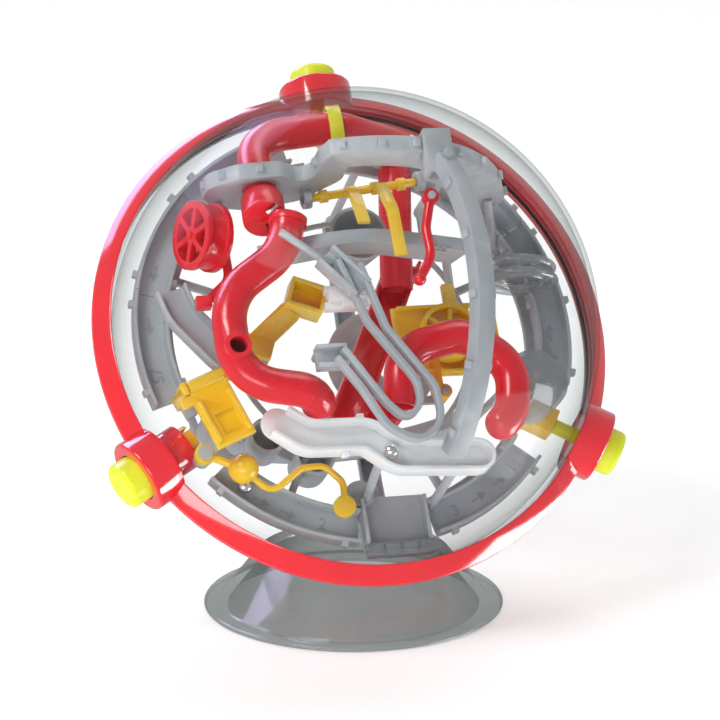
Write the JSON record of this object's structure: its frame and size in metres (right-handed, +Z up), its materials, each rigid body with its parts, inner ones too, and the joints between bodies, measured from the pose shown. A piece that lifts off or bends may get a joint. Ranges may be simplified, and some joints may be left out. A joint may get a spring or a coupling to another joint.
{
  "type": "tilt maze game",
  "caption": "Clear globe with an equator ring, spring-loaded push buttons and a dense inner marble course of tracks, tubes and swinging gates, resting tilted on a smoky conical stand.",
  "frame": {"origin": "centre of the stand's foot ring on the table", "axes": "+Z up; -Y towards the player, who faces the front dome; the globe leans back from the player"},
  "size_m": [0.2155, 0.2, 0.2163],
  "materials": {
    "clear_dome": "polished clear",
    "clear_trim": "clear gray",
    "gray_plastic": "satin",
    "lime_plastic": "glossy",
    "orange_plastic": "slightly see-through",
    "red_plastic": "glossy",
    "smoky_clear": "polished smoky clear",
    "spring_steel": "drawn wire",
    "steel": "polished",
    "white_translucent": "milky",
    "yellow_plastic": "slightly see-through"
  },
  "bodies": {
    "stand": {"display_stand": "smoky_clear"},
    "globe": {"arc_tube": "red_plastic", "button_boss_left": "red_plastic", "button_boss_right": "red_plastic", "button_boss_top": "red_plastic", "button_spring_left": "spring_steel", "button_spring_right": "spring_steel", "button_spring_top": "spring_steel", "cam_plate": "yellow_plastic", "catch_cups": "gray_plastic", "clear_coil": "clear_trim", "connector_box": "yellow_plastic", "core_frame": "gray_plastic", "drop_tube": "red_plastic", "equator_track": "gray_plastic", "front_beam": "gray_plastic", "front_dome": "clear_dome", "funnel": "red_plastic", "gate_frame": "yellow_plastic", "hairpin_rails": "gray_plastic", "left_slide": "gray_plastic", "middle_band": "gray_plastic", "pivot_pins": "gray_plastic", "rail_blocks": "gray_plastic", "rear_bowl": "gray_plastic", "rear_dome": "clear_dome", "rear_hoop": "gray_plastic", "rear_track": "gray_plastic", "red_ramp": "red_plastic", "red_switch_block": "red_plastic", "right_hood": "clear_trim", "ring_front_half": "red_plastic", "ring_rear_half": "red_plastic", "ring_screws": "steel", "serpentine_tube": "red_plastic", "start_clip": "clear_trim", "start_plate": "gray_plastic", "track_posts": "gray_plastic", "tube_yoke": "lime_plastic", "upper_track_left": "gray_plastic", "upper_track_right": "gray_plastic", "upper_tube": "red_plastic", "wheel_bracket": "red_plastic", "white_cluster": "white_translucent", "white_trough": "white_translucent"},
    "button_top": {"button_top": "lime_plastic", "plunger_top": "yellow_plastic"},
    "button_left": {"button_left": "lime_plastic", "plunger_left": "orange_plastic"},
    "button_right": {"button_right": "lime_plastic", "plunger_right": "yellow_plastic"},
    "ball_lever": {"ball_lever": "yellow_plastic"},
    "swing_gate": {"swing_gate": "yellow_plastic"},
    "claw_crank": {"claw_crank": "yellow_plastic"},
    "red_lever": {"red_lever": "red_plastic"},
    "drum_wheel": {"drum_wheel": "red_plastic"},
    "cam_drum": {"cam_drum": "yellow_plastic"},
    "orange_flap": {"orange_flap": "orange_plastic"},
    "steel_ball_trough": {"steel_ball_trough": "steel"},
    "steel_ball_track": {"steel_ball_track": "steel"}
  },
  "joints": [
    {"name": "globe_lift", "type": "slide", "parent": "stand", "child": "globe", "axis": [0, 0, 1], "range_m": [0, 0.06]},
    {"name": "press_top", "type": "slide", "parent": "globe", "child": "button_top", "axis": [0.1472, -0.5635, -0.8129], "range_m": [0, 0.004], "stiffness_N_per_m": 500, "springref_m": -0.002, "deforming": ["button_spring_top"]},
    {"name": "press_left", "type": "slide", "parent": "globe", "child": "button_left", "axis": [0.7588, 0.5204, 0.3917], "range_m": [0, 0.004], "stiffness_N_per_m": 500, "springref_m": -0.002, "deforming": ["button_spring_left"]},
    {"name": "press_right", "type": "slide", "parent": "globe", "child": "button_right", "axis": [-0.9059, 0.043, 0.4212], "range_m": [0, 0.004], "stiffness_N_per_m": 500, "springref_m": -0.002, "deforming": ["button_spring_right"]},
    {"name": "lever_pivot", "type": "hinge", "parent": "globe", "child": "ball_lever", "pos_m": [-0.05796, -0.05941, 0.08081], "axis": [0.2337, -0.7788, 0.5821], "range_deg": [-6, 22]},
    {"name": "gate_swing", "type": "hinge", "parent": "globe", "child": "swing_gate", "pos_m": [-0.05774, -0.05486, 0.10914], "axis": [0.8445, 0.4592, 0.2754], "range_deg": [-8, 8]},
    {"name": "crank_turn", "type": "hinge", "parent": "globe", "child": "claw_crank", "pos_m": [-0.01719, -0.00728, 0.17199], "axis": [0.9358, 0.3427, 0.0828], "range_deg": [-5, 5]},
    {"name": "red_lever_turn", "type": "hinge", "parent": "globe", "child": "red_lever", "pos_m": [0.03032, -0.02037, 0.17491], "axis": [0.2337, -0.7788, 0.5821], "range_deg": [-8, 12]},
    {"name": "wheel_spin", "type": "hinge", "parent": "globe", "child": "drum_wheel", "pos_m": [-0.05929, -0.02269, 0.15967], "axis": [-0.8243, -0.5241, 0.214], "continuous": true},
    {"name": "cam_turn", "type": "hinge", "parent": "globe", "child": "cam_drum", "pos_m": [0.03797, -0.00181, 0.11422], "axis": [0.2337, -0.7788, 0.5821], "range_deg": [-30, 20]},
    {"name": "flap_swing", "type": "hinge", "parent": "globe", "child": "orange_flap", "pos_m": [0.0355, -0.03053, 0.09739], "axis": [0.2337, -0.7788, 0.5821], "range_deg": [-15, 15]},
    {"name": "trough_ball_roll", "type": "slide", "parent": "globe", "child": "steel_ball_trough", "axis": [-0.8371, 0.1435, 0.528], "range_m": [0, 0.007]},
    {"name": "track_ball_roll", "type": "hinge", "parent": "globe", "child": "steel_ball_track", "pos_m": [0, 0, 0.1147], "axis": [0.2337, -0.7788, 0.5821], "range_deg": [-4, 28]}
  ]
}
